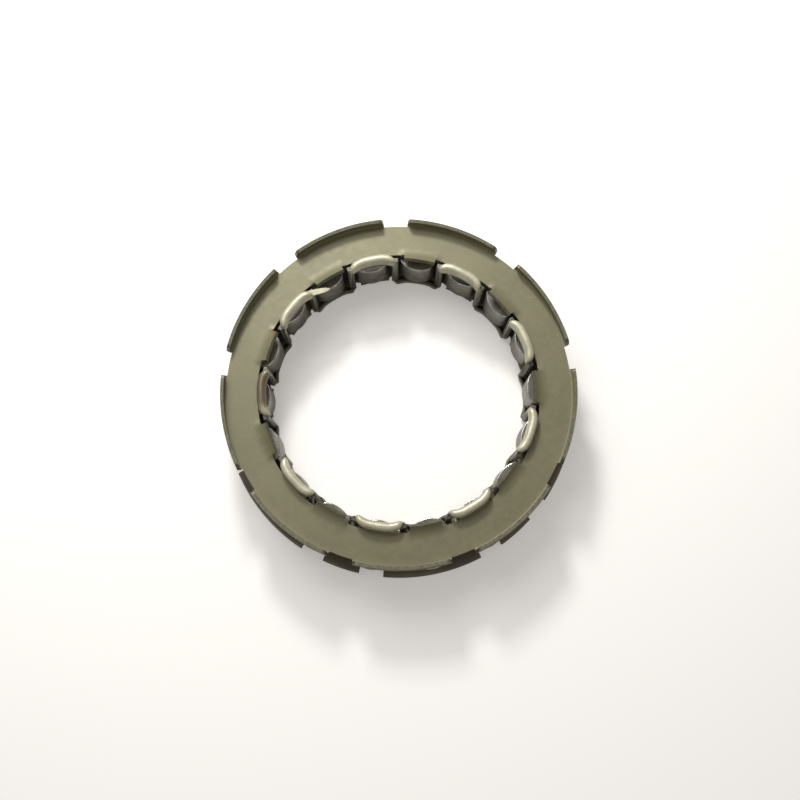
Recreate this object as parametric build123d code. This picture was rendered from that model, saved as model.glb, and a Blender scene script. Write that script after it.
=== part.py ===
"""Caged sprag clutch insert: 18 sprags between two end rings, an outer cage, an inner cage and a ribbon spring.

Millimetres, +Z along the clutch axis. The origin is on the axis, level with the lower free edges.
The insert fills the space between a 44.45 mm inner race and a 61.11 mm outer race.
"""
from build123d import *
import os
from math import degrees

# Driving dimensions
SPRAG_COUNT = 18
PITCH = 360 / SPRAG_COUNT
INNER_RACE = 44.45 / 2
OUTER_RACE = 61.11 / 2
HEIGHT = 13.0
MIDDLE = HEIGHT / 2
SHEET = 0.55

# Flanges of the two end rings
TAB_RISE = 2.0
FLANGE_TOP = HEIGHT - TAB_RISE
FLANGE_UNDER = FLANGE_TOP - SHEET
FLANGE_BORE = 24.2
TONGUE_TIP = 23.05
TONGUE_DROP = 0.85
TONGUE_SPAN = 13.2
TONGUE_BEND = 0.2
TAB_BEND = 0.35

# Upper ring: nine turned-up tabs that centre the insert in the outer race
UPPER_TABS = 9
UPPER_EDGE = 29.6
UPPER_TAB_FOOT = OUTER_RACE - 0.1
UPPER_TAB_LEAN = 0.4
UPPER_GAP_FOOT = 4.4
UPPER_GAP_HEAD = 5.3

# Lower ring: six long and six short turned-down tabs that stop against the face of the outer race
LOWER_EDGE = 30.2
LOWER_TAB_FOOT = 31.6
LOWER_GAP_FOOT = 4.1
LOWER_GAP_HEAD = 4.5
LOWER_GAP_PITCH = 60

# Outer cage, a perforated band between the flanges
OUTER_CAGE_RADIUS = 28.6
OUTER_CAGE_WALL = 0.5
OUTER_WINDOW = 13.6
CAGE_RAIL = 0.35

# Inner cage, a strip that meanders over and under the sprag ends
INNER_CAGE_RADIUS = 22.6
INNER_CAGE_WALL = 0.5
LEG_SPAN = 1.9
CURL_WIDTH = 1.5
CURL_TOP = 12.6
CURL_LIP = 10.95

# Ribbon spring in the waists of the sprags
SPRING_RADIUS = 26.2
SPRING_WALL = 0.2
SPRING_WINDOW = 10.2
FINGER_LENGTH = 0.9
FINGER_HEIGHT = 2.4
FINGER_SIDE = 2.5

# Sprags
SPRAG_END = 10.0
SPRAG_INNER = INNER_RACE - 0.1
SPRAG_OUTER = OUTER_RACE + 0.05
PIVOT_RADIUS = 27.6
INNER_CAM = 4.6
OUTER_CAM = 4.4
CAM_OFFSET = 0.25
HEAD_WIDTH = 6.2
WAIST_LEVEL = 26.2
WAIST_WIDTH = 3.8
WAIST_HOLLOW = 1.6
CORNER = 0.8
SPRAG_EDGE = 0.12


def ring(outer, inner, low, high):
    """Flat ring or band between two radii and two heights."""
    return Pos(0, 0, low) * extrude(Circle(outer) - Circle(inner), high - low)


def turned(profile, middle, span):
    """Revolve an XZ profile through span degrees, centred on the middle angle."""
    solid = revolve(Plane.XZ * profile, Axis.Z, span)
    return Rot(0, 0, middle - span / 2) * solid


def bent_sheet(points, outside_corner, inside_corner, inside_bend):
    """L-shaped sheet section, one bend: a polygon with its two bend corners rounded."""
    section = make_face(Polyline(*points, close=True))
    outside = section.vertices().sort_by_distance((*outside_corner, 0))[0]
    section = fillet(outside, inside_bend + SHEET)
    inside = section.vertices().sort_by_distance((*inside_corner, 0))[0]
    return fillet(inside, inside_bend)


def gap_cutter(foot, head, foot_height, head_height, edge, angle):
    """Wedge that opens one gap between two tabs, down to the flange edge."""
    outline = [(-foot / 2, foot_height), (foot / 2, foot_height), (head / 2, head_height), (-head / 2, head_height)]
    front = Plane((edge - 2, 0, 0), x_dir=(0, 1, 0), z_dir=(1, 0, 0))
    wedge = extrude(front * make_face(Polyline(*outline, close=True)), 6)
    return Rot(0, 0, angle) * (wedge - Cylinder(edge, 4 * HEIGHT))


def tongues(first_angle):
    """Nine tongues with turned-down tips, which reach over every second sprag."""
    root = FLANGE_BORE + 0.5
    inside = TONGUE_TIP + SHEET
    points = [
        (root, FLANGE_TOP),
        (TONGUE_TIP, FLANGE_TOP),
        (TONGUE_TIP, FLANGE_TOP - TONGUE_DROP),
        (inside, FLANGE_TOP - TONGUE_DROP),
        (inside, FLANGE_UNDER),
        (root, FLANGE_UNDER),
    ]
    profile = bent_sheet(points, points[1], points[4], TONGUE_BEND)
    return [turned(profile, first_angle + 2 * PITCH * k, TONGUE_SPAN) for k in range(SPRAG_COUNT // 2)]


def round_tab_corners(blank, height, radius):
    """Round the free corners of the tabs at one height."""
    free_edges = blank.edges().filter_by(lambda e: abs(e.center().Z - height) < 0.01 and e.length < 2 * SHEET)
    return fillet(free_edges, radius)


def upper_end_ring():
    """Flange with nine upturned tabs round it and nine tongues inside it."""
    lean_at_bend = UPPER_TAB_LEAN * TAB_RISE / (TAB_RISE + SHEET)
    head = UPPER_TAB_FOOT - UPPER_TAB_LEAN
    points = [
        (FLANGE_BORE, FLANGE_UNDER),
        (UPPER_TAB_FOOT, FLANGE_UNDER),
        (head, HEIGHT),
        (head - SHEET, HEIGHT),
        (head - SHEET + lean_at_bend, FLANGE_TOP),
        (FLANGE_BORE, FLANGE_TOP),
    ]
    blank = turned(bent_sheet(points, points[1], points[4], TAB_BEND), 0, 360)
    for k in range(UPPER_TABS):
        angle = PITCH / 2 + 2 * PITCH * k
        blank -= gap_cutter(UPPER_GAP_FOOT, UPPER_GAP_HEAD, FLANGE_UNDER - 0.5, HEIGHT + 0.5, UPPER_EDGE, angle)
    blank = round_tab_corners(blank, HEIGHT, 0.4)
    for tongue in tongues(0):
        blank += tongue
    return blank


def lower_end_ring():
    """Flange with six long and six short downturned tabs, and nine tongues inside it."""
    under = HEIGHT - FLANGE_TOP
    top = HEIGHT - FLANGE_UNDER
    points = [
        (FLANGE_BORE, top),
        (LOWER_TAB_FOOT, top),
        (LOWER_TAB_FOOT, 0),
        (LOWER_TAB_FOOT - SHEET, 0),
        (LOWER_TAB_FOOT - SHEET, under),
        (FLANGE_BORE, under),
    ]
    blank = turned(bent_sheet(points, points[1], points[4], TAB_BEND), 0, 360)
    for k in range(360 // LOWER_GAP_PITCH):
        for angle in (LOWER_GAP_PITCH * k, LOWER_GAP_PITCH * k + PITCH):
            blank -= gap_cutter(LOWER_GAP_FOOT, LOWER_GAP_HEAD, top + 0.5, -0.5, LOWER_EDGE, angle)
    blank = round_tab_corners(blank, 0, 0.5)
    for tongue in tongues(PITCH):
        blank += upside_down(tongue)
    return blank


def upside_down(solid):
    """Mirror a solid from one end of the clutch to the other."""
    return mirror(solid, Plane.XY.offset(MIDDLE))


def windows(radius, span):
    """Cutters for the 18 sprag windows of a band."""
    reach = 2.0
    height = 2 * (SPRAG_END - MIDDLE) + 0.2
    section = Pos(radius, MIDDLE) * Rectangle(reach, height)
    return [turned(section, PITCH * k, span) for k in range(SPRAG_COUNT)]


def outer_cage():
    """Perforated band that carries the outer heads of the sprags."""
    band = ring(OUTER_CAGE_RADIUS, OUTER_CAGE_RADIUS - OUTER_CAGE_WALL, HEIGHT - FLANGE_UNDER, FLANGE_UNDER)
    for window in windows(OUTER_CAGE_RADIUS, OUTER_WINDOW):
        band -= window
    return band


def ribbon_spring():
    """Thin perforated strip with one finger at the side of each sprag."""
    band = ring(SPRING_RADIUS, SPRING_RADIUS - SPRING_WALL, HEIGHT - FLANGE_UNDER, FLANGE_UNDER)
    for window in windows(SPRING_RADIUS, SPRING_WINDOW):
        band -= window
    finger = Box(FINGER_LENGTH, SPRING_WALL, FINGER_HEIGHT)
    finger = Pos(SPRING_RADIUS - SPRING_WALL + FINGER_LENGTH / 2, FINGER_SIDE, MIDDLE) * finger
    for k in range(SPRAG_COUNT):
        band += Rot(0, 0, PITCH * k) * finger
    return band


def curl():
    """Hollow bullnose roll of the inner cage over one sprag end, on the +X side."""
    middle = INNER_CAGE_RADIUS + CURL_WIDTH / 2
    half_span = (PITCH + LEG_SPAN) / 2

    def bullnose(width, top, round_over):
        half = half_span - degrees(CURL_WIDTH / 2 / middle)
        spine = CenterArc((0, 0), middle, -half, 2 * half)
        bar = Pos(0, 0, CURL_LIP) * extrude(SlotArc(spine, width), top - CURL_LIP)
        rim = bar.edges().filter_by(lambda e: abs(e.center().Z - top) < 0.01)
        return fillet(rim, round_over)

    cavity = CURL_WIDTH - 2 * INNER_CAGE_WALL
    outside = bullnose(CURL_WIDTH, CURL_TOP, 0.48 * CURL_WIDTH)
    inside = bullnose(cavity, CURL_TOP - INNER_CAGE_WALL, 0.45 * cavity)
    return outside - inside


def inner_cage():
    """Meander of 18 legs, joined by rolls above the even sprags and below the odd ones."""
    overlap = 0.6
    leg_height = CURL_LIP - MIDDLE + overlap
    leg = Pos(INNER_CAGE_RADIUS + INNER_CAGE_WALL / 2, MIDDLE) * Rectangle(INNER_CAGE_WALL, 2 * leg_height)
    top_curl = curl()
    link = upside_down(top_curl) + turned(leg, PITCH / 2, LEG_SPAN)
    link += Rot(0, 0, PITCH) * top_curl
    link += turned(leg, 3 * PITCH / 2, LEG_SPAN)
    links = [Rot(0, 0, 2 * PITCH * k) * link for k in range(SPRAG_COUNT // 2)]
    return links[0] + links[1:]


def sprag():
    """Waisted sprag with an inner and an outer cam, on the +X side at rest."""
    inner = Pos(SPRAG_INNER + INNER_CAM, CAM_OFFSET) * Circle(INNER_CAM)
    outer = Pos(SPRAG_OUTER - OUTER_CAM, -CAM_OFFSET) * Circle(OUTER_CAM)
    slab = Pos(WAIST_LEVEL, 0) * Rectangle(12, HEAD_WIDTH)
    outline = inner & outer & slab
    outline = fillet(outline.vertices(), CORNER)
    for side in (-1, 1):
        outline -= Pos(WAIST_LEVEL, side * (WAIST_WIDTH / 2 + WAIST_HOLLOW)) * Circle(WAIST_HOLLOW)
    sharp = outline.vertices().filter_by(lambda v: abs(v.X - WAIST_LEVEL) < WAIST_HOLLOW)
    outline = fillet(sharp, CORNER / 2)
    length = 2 * (SPRAG_END - MIDDLE)
    body = Pos(0, 0, MIDDLE - length / 2) * extrude(outline, length)
    ends = body.faces().filter_by(Axis.Z).edges()
    return chamfer(ends, SPRAG_EDGE)


def build():
    """All nodes by name."""
    nodes = {
        "upper_end_ring": upper_end_ring(),
        "lower_end_ring": lower_end_ring(),
        "outer_cage": outer_cage(),
        "inner_cage": inner_cage(),
        "ribbon_spring": ribbon_spring(),
    }
    one_sprag = sprag()
    for k in range(SPRAG_COUNT):
        nodes[f"sprag_{k + 1:02d}"] = Rot(0, 0, PITCH * k) * one_sprag
    return nodes


os.makedirs("parts", exist_ok=True)
for name, solid in build().items():
    export_step(solid, f"parts/{name}.step")
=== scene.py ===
# %% [markdown]
# # Sprag clutch insert
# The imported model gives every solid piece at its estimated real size. This scene forms the pressed rings, the rolled
# cage and the sprags again in fine mesh, dresses every piece in its metal, and lights the insert on white paper.

# %% Load the frame
import bmesh
import bpy
from math import atan2, cos, pi, radians, sin, sqrt, tan
from mathutils import Euler, Matrix, Vector


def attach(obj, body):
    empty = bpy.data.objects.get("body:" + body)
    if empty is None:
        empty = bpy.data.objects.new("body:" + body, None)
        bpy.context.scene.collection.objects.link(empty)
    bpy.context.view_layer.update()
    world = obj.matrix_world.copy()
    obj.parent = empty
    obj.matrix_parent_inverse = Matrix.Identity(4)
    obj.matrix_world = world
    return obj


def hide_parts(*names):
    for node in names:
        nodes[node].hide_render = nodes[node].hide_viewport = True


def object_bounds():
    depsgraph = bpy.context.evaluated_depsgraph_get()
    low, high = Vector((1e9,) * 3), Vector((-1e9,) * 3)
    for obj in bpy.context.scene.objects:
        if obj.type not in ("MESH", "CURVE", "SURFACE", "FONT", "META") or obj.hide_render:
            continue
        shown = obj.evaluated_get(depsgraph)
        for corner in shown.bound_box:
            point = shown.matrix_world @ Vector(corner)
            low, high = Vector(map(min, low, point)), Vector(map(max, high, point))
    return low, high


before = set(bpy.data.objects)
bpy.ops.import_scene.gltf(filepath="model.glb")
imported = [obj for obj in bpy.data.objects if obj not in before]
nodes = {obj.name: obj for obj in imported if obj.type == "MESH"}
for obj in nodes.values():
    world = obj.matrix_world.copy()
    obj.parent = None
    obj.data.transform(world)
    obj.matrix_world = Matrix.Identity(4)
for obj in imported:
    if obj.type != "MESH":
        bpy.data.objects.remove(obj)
cad_low, cad_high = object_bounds()
MM = 0.001
HEIGHT = cad_high.z / MM
PITCH = radians(20)
SHEET = 0.55
TAB_RISE = 2.0
FLANGE_TOP = HEIGHT - TAB_RISE
print("solid model", [round(v / MM, 2) for v in cad_high - cad_low], "mm")

# %% [markdown]
# ## Camera
# The insert lies on a table and is looked at from above, a hand's width past its near edge, so the near
# tabs show their tops and the far wall of the bore shows its sprags.

# %% Camera
EYE = Vector((0.2, -29.6, 147.5 + FLANGE_TOP)) * MM
TURN = Matrix.Rotation(radians(-1.1), 3, "Z")
camera = bpy.data.objects.new("camera", bpy.data.cameras.new("camera"))
bpy.context.scene.collection.objects.link(camera)
camera.location = TURN @ EYE
camera.rotation_euler = (TURN @ Euler((radians(10.7), 0, 0)).to_matrix()).to_euler()
camera.data.sensor_width = 36
camera.data.lens = 39.6
camera.data.clip_start = 0.01
bpy.context.scene.camera = camera

# %% [markdown]
# ## Shader arithmetic
# A small class lets one shader value be added, scaled and mixed like a number, so each metal below reads as
# a short recipe.

# %% Shader values
class Value:
    """A shader socket that takes part in arithmetic."""

    def __init__(self, tree, socket):
        self.tree = tree
        self.socket = socket

    def node(self, kind, inputs, output=0, **settings):
        """Any other shader node, fed with numbers or values."""
        made = self.tree.nodes.new("ShaderNode" + kind)
        for key, setting in settings.items():
            setattr(made, key, setting)
        for key, value in inputs.items():
            if isinstance(value, Value):
                self.tree.links.new(value.socket, made.inputs[key])
            else:
                made.inputs[key].default_value = value
        return Value(self.tree, made.outputs[output])

    def math(self, operation, other):
        return self.node("Math", {0: self, 1: other}, operation=operation)

    def __add__(self, other):
        return self.math("ADD", other)

    def __mul__(self, other):
        return self.math("MULTIPLY", other)

    __radd__ = __add__
    __rmul__ = __mul__

    def ramp(self, low, high, start=0.0, end=1.0):
        """Smooth passage from start to end while this value goes from low to high."""
        ends = {"From Min": low, "From Max": high, "To Min": start, "To Max": end}
        return self.node("MapRange", {"Value": self, **ends}, interpolation_type="SMOOTHSTEP")

    def blend(self, low, high):
        """Colour low where this value is 0 and high where it is 1."""
        return self.node("Mix", {0: self, 6: low, 7: high}, output=2, data_type="RGBA")

    def noise(self, size, detail=3.0, stretch=(1, 1, 1)):
        """Cloudy pattern from 0 to 1 whose patches are about size millimetres, on this coordinate."""
        spread = self.node("Mapping", {"Vector": self, "Scale": stretch})
        return self.node("TexNoise", {"Vector": spread, "Scale": 1 / (size * MM), "Detail": detail})

    def part(self, axis):
        """One of the three numbers of this coordinate."""
        return self.node("SeparateXYZ", {0: self}, output=axis)


def metal(name, recipe, metallic):
    """Material whose recipe turns the object's own coordinates into colour, roughness and bump height."""
    material = bpy.data.materials.new(name)
    material.use_nodes = True
    tree = material.node_tree
    shader = tree.nodes["Principled BSDF"]
    place = Value(tree, tree.nodes.new("ShaderNodeTexCoord").outputs["Object"])
    colour, roughness, height, depth = recipe(place)
    tree.links.new(colour.socket, shader.inputs["Base Color"])
    tree.links.new(roughness.socket, shader.inputs["Roughness"])
    bump = place.node("Bump", {"Height": height, "Distance": depth * MM, "Strength": 1.0})
    tree.links.new(bump.socket, shader.inputs["Normal"])
    shader.inputs["Metallic"].default_value = metallic
    print("metal", name, "with", len(tree.nodes), "shader nodes")
    return material


def tint(red, green, blue):
    """Opaque colour."""
    return (red, green, blue, 1.0)


# %% [markdown]
# ## Metals
# The rings are phosphated: a fine crystalline coat with cloudy patches, light speckles and handling
# scratches that let the steel shine through. The upper ring came out olive and the lower ring dark brown.
# The inner cage is bare rolled strip, warm with oil and stained in places. The sprags are hardened and ground.

# %% Recipes
def olive_coat(place):
    clouds = place.noise(7.0)
    mottle = place.noise(1.1, 4.0)
    grain = place.noise(0.16, 2.0)
    scratches = place.noise(0.5, 2.0, (0.12, 1.6, 1.0)).ramp(0.7, 0.76)
    specks = place.noise(0.42, 1.0).ramp(0.7, 0.8)
    tone = clouds.ramp(0.3, 0.7).blend(tint(0.218, 0.204, 0.121), tint(0.246, 0.226, 0.131))
    tone = mottle.ramp(0.35, 0.68, 0.0, 0.34).blend(tone, tint(0.272, 0.256, 0.158))
    tone = grain.ramp(0.3, 0.5, 0.22, 0.0).blend(tone, tint(0.13, 0.118, 0.066))
    bare = (specks + scratches).math("MINIMUM", 1.0).ramp(0.0, 1.0, 0.0, 0.3)
    tone = bare.blend(tone, tint(0.4, 0.385, 0.28))
    return tone, mottle.ramp(0.3, 0.7, 0.46, 0.58), grain + mottle * 0.6, 0.012


def brown_coat(place):
    clouds = place.noise(4.0)
    grain = place.noise(0.2, 3.0)
    tone = clouds.ramp(0.3, 0.7).blend(tint(0.13, 0.11, 0.073), tint(0.2, 0.172, 0.117))
    tone = grain.ramp(0.62, 0.8, 0.0, 0.5).blend(tone, tint(0.26, 0.235, 0.175))
    return tone, clouds.ramp(0.3, 0.7, 0.36, 0.5), grain, 0.012


def cut_edge(place):
    streaks = place.noise(0.5, 3.0)
    tone = streaks.ramp(0.35, 0.65).blend(tint(0.125, 0.117, 0.076), tint(0.17, 0.16, 0.108))
    return tone, streaks.ramp(0.3, 0.7, 0.35, 0.5), streaks, 0.006


# Light tone on the upper ring's rounded edges: partly worn-through coat, partly painted highlight along the edges.
def worn_coat_and_highlight(place):
    wear = place.noise(0.8, 3.0)
    tone = wear.ramp(0.35, 0.65).blend(tint(0.34, 0.32, 0.22), tint(0.66, 0.64, 0.52))
    return tone, wear.ramp(0.3, 0.7, 0.3, 0.42), wear, 0.004


def worn_brown_coat(place):
    wear = place.noise(0.7, 3.0)
    tone = wear.ramp(0.42, 0.66).blend(tint(0.1, 0.085, 0.06), tint(0.32, 0.3, 0.25))
    return tone, wear.ramp(0.3, 0.7, 0.3, 0.42), wear, 0.004


# Painted shade: a darker copy of the rolled strip for the legs down in the bore; the streaks along it are grain.
def leg_strip_painted_shade(place):
    clouds = place.noise(1.6)
    streaks = place.noise(0.3, 3.0, (1.0, 1.0, 0.12))
    tone = clouds.ramp(0.35, 0.65).blend(tint(0.125, 0.121, 0.1), tint(0.19, 0.184, 0.155))
    tone = streaks.ramp(0.5, 0.72, 0.0, 0.5).blend(tone, tint(0.075, 0.07, 0.055))
    return tone, streaks.ramp(0.3, 0.7, 0.32, 0.46), streaks, 0.005


def rolled_strip(place):
    clouds = place.noise(3.0)
    streaks = place.noise(0.6, 3.0, (1.0, 1.0, 6.0))
    grain = place.noise(0.12, 2.0)
    stain_spot = Vector((-23.3, 0.4, 12.4)) * MM
    spot_distance = place.node("VectorMath", {0: place, 1: stain_spot}, output=1, operation="DISTANCE")
    stain = (spot_distance * (1 / MM) + grain * 4.0).ramp(4.4, 6.4, 0.9, 0.0)
    tone = clouds.ramp(0.35, 0.65).blend(tint(0.56, 0.53, 0.375), tint(0.7, 0.665, 0.49))
    tone = streaks.ramp(0.5, 0.75, 0.0, 0.45).blend(tone, tint(0.34, 0.31, 0.21))
    tone = stain.blend(tone, tint(0.12, 0.085, 0.045))
    # Painted shade: the strip turns mostly dark grey at 6 mm height and below, fading out by 12 mm, where the lower
    # rolls sit deep in the bore.
    below = place.part(2).ramp(6 * MM, 12 * MM, 0.75, 0.0)
    tone = below.blend(tone, tint(0.12, 0.115, 0.09))
    return tone, streaks.ramp(0.3, 0.7, 0.34, 0.5), grain + streaks, 0.008


def spring_strip(place):
    clouds = place.noise(2.0)
    tone = clouds.ramp(0.35, 0.65).blend(tint(0.3, 0.28, 0.23), tint(0.42, 0.4, 0.34))
    return tone, clouds.ramp(0.3, 0.7, 0.3, 0.45), place.noise(0.15), 0.004


def ground_steel(place):
    clouds = place.noise(2.5)
    lines = place.noise(0.35, 3.0, (1.0, 1.0, 9.0))
    grain = place.noise(0.14, 2.0)
    tone = clouds.ramp(0.3, 0.7).blend(tint(0.25, 0.235, 0.2), tint(0.37, 0.35, 0.3))
    tone = lines.ramp(0.5, 0.75, 0.0, 0.5).blend(tone, tint(0.12, 0.112, 0.1))
    return tone, lines.ramp(0.3, 0.7, 0.28, 0.46), grain + lines, 0.008


# Bright tone for the sprags' rounded rims: partly tumbled wear, partly painted highlight.
def bright_edge(place):
    wear = place.noise(0.9)
    tone = wear.ramp(0.35, 0.65).blend(tint(0.42, 0.41, 0.38), tint(0.8, 0.79, 0.75))
    return tone, wear.ramp(0.3, 0.7, 0.2, 0.34), wear, 0.003


olive = metal("olive_phosphate", olive_coat, 0.25)
brown = metal("brown_phosphate", brown_coat, 0.35)
cut_olive = metal("cut_edge", cut_edge, 0.5)
worn_olive_and_highlight = metal("olive_edge_wear_and_highlight", worn_coat_and_highlight, 0.5)
worn_brown = metal("worn_brown_edge", worn_brown_coat, 0.4)
rolled = metal("rolled_steel", rolled_strip, 0.35)
leg_shade_steel = metal("leg_steel_painted_shade", leg_strip_painted_shade, 0.6)
spring = metal("spring_steel", spring_strip, 0.8)
ground = metal("ground_steel", ground_steel, 0.8)
edge_metal = metal("edge_wear_and_painted_highlight", bright_edge, 0.9)

# %% [markdown]
# ## Sheet work
# A pressed ring or a rolled strip is skinned column by column: every column is the sheet's profile at one
# angle. The skin then gets its thickness, and a small round on every cut edge.

# %% Columns
def polar(radius, angle, z):
    return Vector((radius * cos(angle), radius * sin(angle), z)) * MM


def spread(start, end, step=radians(1.0)):
    """Evenly spaced angles from start to end."""
    count = max(1, round((end - start) / step))
    return [start + (end - start) * k / count for k in range(count + 1)]


def strip(bm, columns, profile):
    """Skin a run of columns; profile(angle) gives points as (radius, angle, height)."""
    rows = [[bm.verts.new(polar(*point)) for point in profile(angle)] for angle in columns]
    for left, right in zip(rows, rows[1:]):
        for k in range(len(left) - 1):
            bm.faces.new((left[k], left[k + 1], right[k + 1], right[k]))


def finish_sheet(name, bm, thickness, edge, materials, upside_down=False):
    """Object from a sheet skin: welded, thickened away from its face, with rounded edges."""
    bmesh.ops.remove_doubles(bm, verts=bm.verts, dist=0.002 * MM)
    if upside_down:
        bmesh.ops.scale(bm, verts=bm.verts, vec=(1, 1, -1))
        bmesh.ops.translate(bm, verts=bm.verts, vec=(0, 0, HEIGHT * MM))
        bmesh.ops.reverse_faces(bm, faces=bm.faces)
    return finish(name, bm, edge, materials, thickness)


def finish(name, bm, edge, materials, thickness=0.0):
    """Object from a mesh in the making, smooth shaded, with rounded edges."""
    for face in bm.faces:
        face.smooth = True
    mesh = bpy.data.meshes.new(name)
    bm.to_mesh(mesh)
    bm.free()
    for material in materials:
        mesh.materials.append(material)
    obj = bpy.data.objects.new(name, mesh)
    bpy.context.scene.collection.objects.link(obj)
    if thickness:
        solid = obj.modifiers.new("thickness", "SOLIDIFY")
        solid.thickness = thickness * MM
        solid.offset = -1
        solid.material_offset_rim = min(1, len(materials) - 1)
    if edge:
        bevel = obj.modifiers.new("edge", "BEVEL")
        bevel.width = edge * MM
        bevel.segments = 2
        bevel.limit_method = "ANGLE"
        bevel.angle_limit = radians(38)
        bevel.harden_normals = True
        bevel.material = len(materials) - 1
    print(name, len(mesh.polygons), "faces before its modifiers")
    return obj

# %% [markdown]
# ## End rings
# Each ring is one pressing. Nine lips reach in at the bore, one over every second sprag, and keep it from
# climbing out; they curve up a little towards their tips. Tabs are bent up round the rim, with flared gaps
# between them where the blank was notched. The lower ring is modelled upright too and then turned over.

# %% Pressed rings
BORE = 24.2
LIP_ROOT = 25.7
LIP_TIP = 23.3
LIP_RADIUS = 3.1
LIP_HALF = radians(6.6)
LIP_FADE = radians(2.0)
GAP_HALF = 2.05
UPPER_RIM, LOWER_RIM = 29.5, 30.2


def lip_rise(radius, aside):
    """Height of the flange near a lip: it curves up towards its tip and fades into the flat beside it."""
    reach = max(0.0, LIP_ROOT - radius)
    rise = LIP_RADIUS - sqrt(LIP_RADIUS ** 2 - reach ** 2)
    fade = min(1.0, max(0.0, (aside - LIP_HALF) / LIP_FADE))
    return rise * (1 - fade) ** 2 * (1 + 2 * fade)


def pressed_ring(name, bore, rim, tab_root, tab_bend, tab_lean, tab_arcs, taper, corner, lip_start, materials,
                 over):
    """One end ring, modelled upright; over turns it into the lower ring."""
    bm = bmesh.new()
    lip_arcs = [(lip_start + 2 * PITCH * k - LIP_HALF, lip_start + 2 * PITCH * k + LIP_HALF) for k in range(9)]
    marks = set(spread(-pi, pi))
    for start, end in tab_arcs + lip_arcs:
        for inset in (0.0, 0.03, 0.1, 0.22, 0.5):
            marks.update((start + inset * corner / 0.5 / rim, end - inset * corner / 0.5 / rim))
    marks = sorted({round((a + pi) % (2 * pi), 6) for a in marks} | {0.0, round(2 * pi, 6)})
    marks = [a - pi for a in marks]

    def within(arc):
        turns = (arc[0] + pi) // (2 * pi) * 2 * pi
        low, high = arc[0] - turns, arc[1] - turns
        whole = marks[:-1] + [a + 2 * pi for a in marks]
        return [a for a in whole if low - 2e-6 <= a <= high + 2e-6]

    def flange(radii):
        def column(angle):
            aside = abs((angle - lip_start + PITCH) % (2 * PITCH) - PITCH)
            return [(r, angle, FLANGE_TOP + lip_rise(r, aside)) for r in radii]
        return column

    strip(bm, marks, flange((BORE, 24.5, 24.8, 25.1, 25.4, 25.7, 27.0, 28.4, rim)))
    for k, (start, end) in enumerate(lip_arcs):
        strip(bm, within((start, end)), flange((LIP_TIP, 23.5, 23.7, 23.95, BORE)))
        if bore < BORE:
            between = within((end, lip_arcs[(k + 1) % 9][0] + (2 * pi if k == 8 else 0)))
            strip(bm, between, flange((bore, BORE)))
    for start, end in tab_arcs:
        columns = within((start, end))

        def tab(angle):
            aside = min(angle - columns[0], columns[-1] - angle) * rim
            drop = corner - sqrt(max(0.0, corner ** 2 - (corner - aside) ** 2)) if aside < corner else 0.0
            turn = [(pi / 2 + tab_lean) * n / 6 for n in range(7)]
            points = [(rim, 0.0)] if tab_root > rim else []
            points += [(tab_root + tab_bend * sin(b), tab_bend * (1 - cos(b))) for b in turn]
            foot_radius, foot_height = points[-1]
            for n in (1, 2, 3):
                z = foot_height + (TAB_RISE - drop - foot_height) * n / 3
                points.append((foot_radius - tan(tab_lean) * (z - foot_height), z))
            centre = (columns[0] + columns[-1]) / 2
            return [(r, centre + (angle - centre) * (1 - taper * z / TAB_RISE), FLANGE_TOP + z) for r, z in points]

        strip(bm, columns, tab)
    return finish_sheet(name, bm, SHEET, 0.08, materials, upside_down=over)


def arcs_between(gaps, half_gap):
    """Tab arcs that fill the rim between gap centres."""
    return [(a + half_gap, b - half_gap) for a, b in zip(gaps, gaps[1:] + [gaps[0] + 2 * pi])]


upper_gaps = [PITCH / 2 + 2 * PITCH * k for k in range(9)]
upper = pressed_ring("upper_ring_pressing", bore=BORE, rim=UPPER_RIM, tab_root=UPPER_RIM, tab_bend=0.35,
                     tab_lean=radians(8.9), tab_arcs=arcs_between(upper_gaps, GAP_HALF / UPPER_RIM),
                     taper=0.048, corner=0.45, lip_start=0.0,
                     materials=[olive, cut_olive, worn_olive_and_highlight], over=False)
lower_gaps = sorted(3 * PITCH * k + side for k in range(6) for side in (0, PITCH))
lower = pressed_ring("lower_ring_pressing", bore=23.5, rim=LOWER_RIM, tab_root=30.7, tab_bend=0.35,
                     tab_lean=0.0, tab_arcs=arcs_between(lower_gaps, GAP_HALF / LOWER_RIM),
                     taper=0.03, corner=0.5, lip_start=PITCH,
                     materials=[brown, brown, worn_brown], over=True)
for ring, node in ((upper, "upper_end_ring"), (lower, "lower_end_ring")):
    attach(ring, "end_rings")
    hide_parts(node)

# %% [markdown]
# ## Inner cage
# One strip winds round the bore: a leg down between two sprags, a roll under the next sprag, a leg up, a
# roll over the one after. The strip was curled over a mandrel there, so each roll has a round back and
# drawn-in ends. One end of the strip was left sticking out beside the joint.

# %% Rolls and legs
ROLL_MIDDLE = 23.35
ROLL_HALF_WIDTH = 0.75
ROLL_HALF_SPAN = radians(10.2)
ROLL_END = 1.15
ROLL_SKIRT = 1.1
CAGE_LEAD = radians(0.6)


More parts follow.
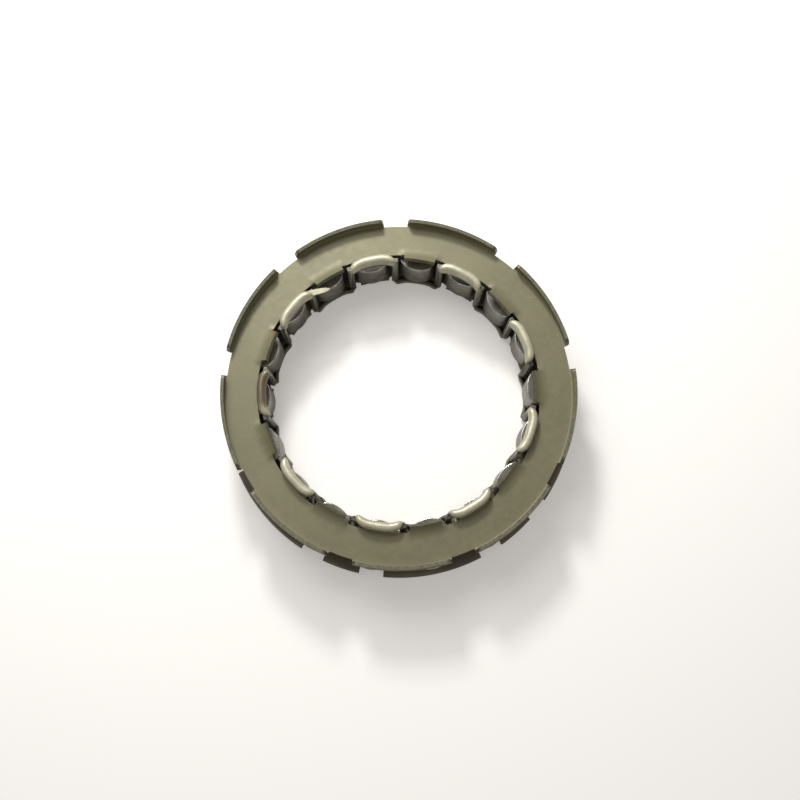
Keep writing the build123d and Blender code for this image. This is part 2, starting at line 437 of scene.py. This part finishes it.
def roll(bm, middle):
    """Round-backed roll over one sprag end."""
    end_reach = ROLL_END / ROLL_MIDDLE
    columns = spread(-ROLL_HALF_SPAN + end_reach, ROLL_HALF_SPAN - end_reach, radians(0.9))
    sweep = [end_reach * sin(pi / 2 * n / 6) for n in range(1, 7)]
    columns = [columns[0] - s for s in reversed(sweep)] + columns + [columns[-1] + s for s in sweep]

    def profile(angle):
        past = max(0.0, abs(angle) - (ROLL_HALF_SPAN - end_reach)) / end_reach
        width = max(0.15, ROLL_HALF_WIDTH * sqrt(max(0.0, 1 - past ** 2)))
        arch = 0.2 * cos(angle / ROLL_HALF_SPAN * pi / 2)
        side = HEIGHT - 0.25 - ROLL_HALF_WIDTH + arch
        centre = ROLL_MIDDLE - 0.75 * max(0.0, abs(angle) / ROLL_HALF_SPAN - 0.35) ** 2 / 0.65 ** 2
        points = [(centre - width, side - ROLL_SKIRT)]
        points += [(centre - width * cos(pi * n / 12), side + width * sin(pi * n / 12)) for n in range(13)]
        points += [(centre + width, side - ROLL_SKIRT)]
        return [(r, middle + angle, z) for r, z in points]

    strip(bm, columns, profile)


bm = bmesh.new()
for k in range(9):
    roll(bm, CAGE_LEAD + PITCH + 2 * PITCH * k)
for k in range(9):
    roll(bm, CAGE_LEAD + 2 * PITCH * k)
low_rolls = [v for v in bm.verts if round((atan2(v.co.y, v.co.x) - CAGE_LEAD) / PITCH) % 2 == 0]
bmesh.ops.scale(bm, verts=low_rolls, vec=(1, 1, -1))
bmesh.ops.translate(bm, verts=low_rolls, vec=(0, 0, HEIGHT * MM))
bmesh.ops.reverse_faces(bm, faces=[f for f in bm.faces if f.verts[0] in set(low_rolls)])
cage = finish_sheet("rolled_inner_cage", bm, thickness=0.35, edge=0.06, materials=[rolled])
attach(cage, "inner_cage")
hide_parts("inner_cage")

# %% Legs
LEG_RADIUS = 23.5
LEG_HALF = radians(1.5)
LEG_END = 1.3


def leg_profile(angle):
    """Straight leg from the upper rolls down to the lower ones."""
    return [(LEG_RADIUS, angle, HEIGHT - LEG_END - (HEIGHT - 2 * LEG_END) * n / 6) for n in range(7)]


bm = bmesh.new()
for k in range(18):
    middle = CAGE_LEAD + PITCH / 2 + PITCH * k
    strip(bm, spread(middle - LEG_HALF, middle + LEG_HALF, LEG_HALF / 2), leg_profile)
# The legs wear the darker strip, which is painted shade.
legs = finish_sheet("cage_legs", bm, thickness=0.85, edge=0.15, materials=[leg_shade_steel])
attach(legs, "inner_cage")

# %% Loose end
bm = bmesh.new()
tail_start = polar(23.2, radians(133.1), 12.3)
tail_end = polar(21.6, radians(122.7), 11.4)
along = tail_end - tail_start
across = Vector((-along.y, along.x, 0)).normalized()
widths = (0.42, 0.5, 0.52, 0.5, 0.46, 0.38, 0.12)
rungs = []
for n, half in enumerate(widths):
    centre = tail_start + along * n / (len(widths) - 1)
    rungs.append([bm.verts.new(centre - across * half * MM), bm.verts.new(centre + across * half * MM)])
for a, b in zip(rungs, rungs[1:]):
    bm.faces.new((a[0], b[0], b[1], a[1]))
tail = finish_sheet("cage_loose_end", bm, thickness=0.3, edge=0.05, materials=[rolled])
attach(tail, "inner_cage")

# %% [markdown]
# ## Sprags
# A sprag is a bar of drawn steel with two cams, one for each race, and a waist for the ribbon spring. Its
# inner cam sits a little to one side of its outer one, which is what makes it wedge, and the spring leans it
# into contact. The end face is one outline, extruded, and a bevel on its rims takes a bright metal: tumbled
# wear with a painted highlight.

# %% Sprags
PIVOT = 27.6
SPRAG_LOW, SPRAG_HIGH = 2.95, 9.45
SPRAG_INSIDE, SPRAG_OUTSIDE = 22.122, 30.598
SPRAG_LEAN = radians(-5)
INNER_CAM, INNER_CAM_CENTRE = 4.6, 26.72
OUTER_CAM, OUTER_CAM_CENTRE = 4.4, 26.2
HEAD_HALF = 3.1
WAIST_DEPTH, WAIST_LEVEL, WAIST_REACH = 1.35, 26.2, 2.1


def sprag_half_width(x):
    """Half the thickness of the bar at radius x, from its two cams, its straight heads and its waist."""
    inner = sqrt(max(0.0, INNER_CAM ** 2 - (x - INNER_CAM_CENTRE) ** 2)) if x < INNER_CAM_CENTRE else INNER_CAM
    outer = sqrt(max(0.0, OUTER_CAM ** 2 - (x - OUTER_CAM_CENTRE) ** 2)) if x > OUTER_CAM_CENTRE else OUTER_CAM
    sharpness = 9
    width = 0.0
    if inner * outer:
        width = (inner ** -sharpness + outer ** -sharpness + HEAD_HALF ** -sharpness) ** (-1 / sharpness)
    beside_waist = max(-1.0, min(1.0, (x - WAIST_LEVEL) / WAIST_REACH))
    waist = WAIST_DEPTH * max(0.0, cos(beside_waist * pi / 2)) ** 1.2
    return max(0.0, width - waist)


def sprag_outline():
    """Closed outline of the sprag's end face, leaning a little about its outer head."""
    low, high = SPRAG_INSIDE, SPRAG_OUTSIDE
    stations = [(low + high) / 2 - (high - low) / 2 * cos(pi * n / 56) for n in range(57)]
    one_side = [(x, sprag_half_width(x)) for x in stations]
    points = one_side + [(x, -w) for x, w in reversed(one_side[1:-1])]
    lean = Matrix.Rotation(SPRAG_LEAN, 2)
    shifted = []
    for x, y in points:
        cam_shift = 0.25 * (26.4 - x) / 4.2
        turned = lean @ Vector((x - PIVOT, y + cam_shift))
        shifted.append((PIVOT + turned.x, turned.y))
    return shifted


OUTLINE = sprag_outline()
for k in range(18):
    bm = bmesh.new()
    turn = Matrix.Rotation(PITCH * k, 3, "Z")
    foot = [bm.verts.new(turn @ Vector((x, y, SPRAG_LOW)) * MM) for x, y in OUTLINE]
    base = bm.faces.new(foot)
    grown = bmesh.ops.extrude_face_region(bm, geom=[base])
    top_verts = [v for v in grown["geom"] if isinstance(v, bmesh.types.BMVert)]
    bmesh.ops.translate(bm, verts=top_verts, vec=(0, 0, (SPRAG_HIGH - SPRAG_LOW) * MM))
    bmesh.ops.recalc_face_normals(bm, faces=bm.faces)
    rims = [e for e in bm.edges if e.is_manifold and e.calc_face_angle() > radians(60)]
    rounded = bmesh.ops.bevel(bm, geom=rims, affect="EDGES", offset=0.13 * MM, segments=2, profile=0.5,
                              material=-1)
    # The rounded rims take the bright metal, a painted highlight over tumbled wear.
    for face in rounded["faces"]:
        face.material_index = 1
    name = f"sprag_{k + 1:02d}"
    sprag = finish(name + "_bar", bm, 0, [ground, edge_metal])
    for polygon in sprag.data.polygons:
        polygon.use_smooth = abs(polygon.normal.z) < 0.99
    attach(sprag, name)
    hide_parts(name)

# %% [markdown]
# ## Outer cage and ribbon spring
# Both keep their solid shape: a windowed band behind the sprags, and the thin strip in their waists.

# %% Dress the bands
for node, material in (("outer_cage", brown), ("ribbon_spring", spring)):
    mesh = nodes[node].data
    mesh.materials.clear()
    mesh.materials.append(material)
    print(node, "wears", material.name)

# %% [markdown]
# ## Light and paper
# A small lamp stands close by, past the far rim, so the far tabs throw short shadows and the near ones
# long ones. A broad pane higher up and a pale room fill the rest. The paper's own colour is near white, and
# what the camera sees of it is lifted a little further, which lights nothing else.

# %% Paper
bm = bmesh.new()
bmesh.ops.create_grid(bm, x_segments=1, y_segments=1, size=1.5)
paper_mesh = bpy.data.meshes.new("paper")
bm.to_mesh(paper_mesh)
bm.free()
paper = bpy.data.objects.new("paper", paper_mesh)
bpy.context.scene.collection.objects.link(paper)
paper_material = bpy.data.materials.new("white_paper")
paper_material.use_nodes = True
tree = paper_material.node_tree
paper_shader = tree.nodes["Principled BSDF"]
paper_shader.inputs["Base Color"].default_value = tint(0.93, 0.9, 0.86)
paper_shader.inputs["Roughness"].default_value = 0.9
PAPER_LIFT = 0.3
seen = Value(tree, tree.nodes.new("ShaderNodeLightPath").outputs["Is Camera Ray"])
tree.links.new(seen.ramp(0, 1, 0.0, PAPER_LIFT).blend(tint(0, 0, 0), tint(1, 0.97, 0.94)).socket,
               paper_shader.inputs["Emission Color"])
paper_shader.inputs["Emission Strength"].default_value = 1.0
paper_mesh.materials.append(paper_material)
print("paper", round(paper.dimensions.x, 1), "m wide")


# %% Lamps
def lamp(name, azimuth, distance, height, size, share):
    """Square lamp that faces the insert and gives this share of its light at the middle of the upper flange."""
    place = Vector((distance * cos(radians(azimuth)), distance * sin(radians(azimuth)), height)) * MM
    middle = Vector((0, 0, FLANGE_TOP * MM))
    beam = place - middle
    data = bpy.data.lights.new(name, "AREA")
    data.size = size * MM
    data.energy = share * pi ** 2 * beam.length ** 3 / beam.z
    lamp_object = bpy.data.objects.new(name, data)
    bpy.context.scene.collection.objects.link(lamp_object)
    lamp_object.location = place
    lamp_object.rotation_euler = beam.to_track_quat("Z", "Y").to_euler()
    print(name, "power", round(data.energy, 3), "W")


lamp("lamp", azimuth=103, distance=150, height=146, size=36, share=0.41)
lamp("pane", azimuth=120, distance=120, height=190, size=120, share=0.33)
world = bpy.data.worlds.new("room")
bpy.context.scene.world = world
world.use_nodes = True
world.node_tree.nodes["Background"].inputs["Color"].default_value = tint(1, 0.98, 0.95)
world.node_tree.nodes["Background"].inputs["Strength"].default_value = 0.27
bpy.context.scene.view_settings.view_transform = "Standard"
